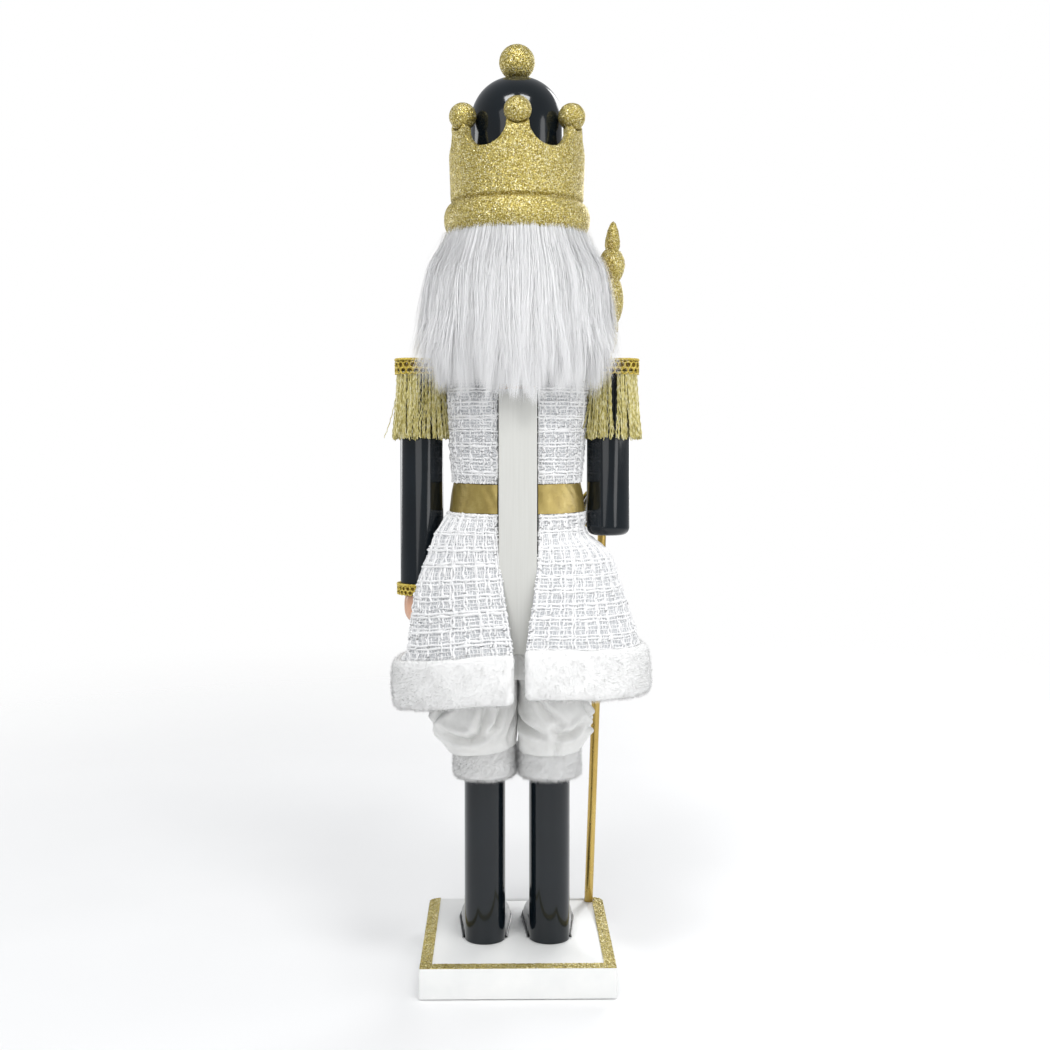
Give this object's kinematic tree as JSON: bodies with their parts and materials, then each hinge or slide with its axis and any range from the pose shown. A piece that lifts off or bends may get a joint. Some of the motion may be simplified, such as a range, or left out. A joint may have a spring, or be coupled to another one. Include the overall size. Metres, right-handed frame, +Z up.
{
  "type": "nutcracker figure",
  "caption": "Tall standing king-style nutcracker on a square board, with a back lever that opens the jaw, a fur-hemmed coat, fringed epaulettes, a crown and a lift-out sceptre.",
  "frame": {"origin": "centre of the base board's underside, which rests on the surface", "axes": "+Z up; the figure faces -Y, so its back, with the lever, faces +Y; its own left side is +X"},
  "size_m": [0.1736, 0.155, 0.61],
  "materials": {
    "black_lacquer": "turned wood under glossy blue-black lacquer",
    "white_paint": "satin white paint on board",
    "lever_paint": "satin off-white paint with faint grain",
    "bare_wood": "unpainted turned wood",
    "screw_steel": "zinc plated steel",
    "gold_glitter": "coarse pale-gold glitter in clear lacquer",
    "gold_metal": "polished brass-coloured metal",
    "gold_leather": "satin gold-coated imitation leather",
    "gold_gimp": "metallic-thread gimp braid",
    "gold_fringe": "twisted metallic thread fringe",
    "flesh_paint": "satin flesh-tone paint on turned wood",
    "white_tweed": "open boucle tweed with metallic glints",
    "white_plush": "short dense plush",
    "trouser_cloth": "thin gathered satin-backed cloth",
    "white_fur": "long faux fur"
  },
  "bodies": {
    "root": {"base_board": "white_paint", "base_glitter_tape": "gold_glitter", "leg_screw_left": "screw_steel", "leg_screw_right": "screw_steel", "shoe_left": "black_lacquer", "shoe_right": "black_lacquer", "leg_left": "black_lacquer", "leg_right": "black_lacquer", "fur_cuff_left": "white_plush", "fur_cuff_right": "white_plush", "trouser_left": "trouser_cloth", "trouser_right": "trouser_cloth", "hip_block": "bare_wood", "torso": "black_lacquer", "shoulder_dowel_left": "bare_wood", "shoulder_dowel_right": "bare_wood", "neck_dowel_left": "bare_wood", "neck_dowel_right": "bare_wood", "coat_bodice": "white_tweed", "belt": "gold_leather", "belt_buckle": "gold_metal", "coat_skirt_left": "white_tweed", "coat_skirt_right": "white_tweed", "hem_fur_left": "white_plush", "hem_fur_right": "white_plush", "arm_left": "black_lacquer", "upper_arm_right": "black_lacquer", "forearm_right": "black_lacquer", "elbow_dowel": "bare_wood", "wrist_braid_left": "gold_gimp", "wrist_braid_right": "gold_gimp", "hand_left": "flesh_paint", "hand_right": "flesh_paint", "epaulette_board_left": "gold_gimp", "epaulette_board_right": "gold_gimp", "epaulette_braid_left": "gold_gimp", "epaulette_braid_right": "gold_gimp", "epaulette_fringe_left": "gold_fringe", "epaulette_fringe_right": "gold_fringe", "head": "flesh_paint", "pivot_pin": "screw_steel", "nose": "flesh_paint", "moustache": "white_fur", "hair": "white_fur", "crown_rim": "gold_glitter", "crown_wall": "gold_glitter", "crown_dome": "black_lacquer", "crown_finial": "gold_glitter", "crown_ball_1": "gold_glitter", "crown_ball_2": "gold_glitter", "crown_ball_3": "gold_glitter", "crown_ball_4": "gold_glitter", "crown_ball_5": "gold_glitter", "crown_ball_6": "gold_glitter"},
    "jaw_lever": {"jaw": "flesh_paint", "lever_arm": "bare_wood", "lever": "lever_paint", "beard": "white_fur"},
    "sceptre": {"sceptre_rod": "gold_metal", "sceptre_head": "gold_glitter"}
  },
  "joints": [
    {"name": "jaw_hinge", "type": "hinge", "parent": "root", "child": "jaw_lever", "pos_m": [0, 0.0125, 0.425], "axis": [1, 0, 0], "range_deg": [0, 18], "deforming": ["beard"]},
    {"name": "sceptre_lift", "type": "slide", "parent": "root", "child": "sceptre", "axis": [-0.0349, 0, 0.9994], "range_m": [0, 0.27]}
  ]
}
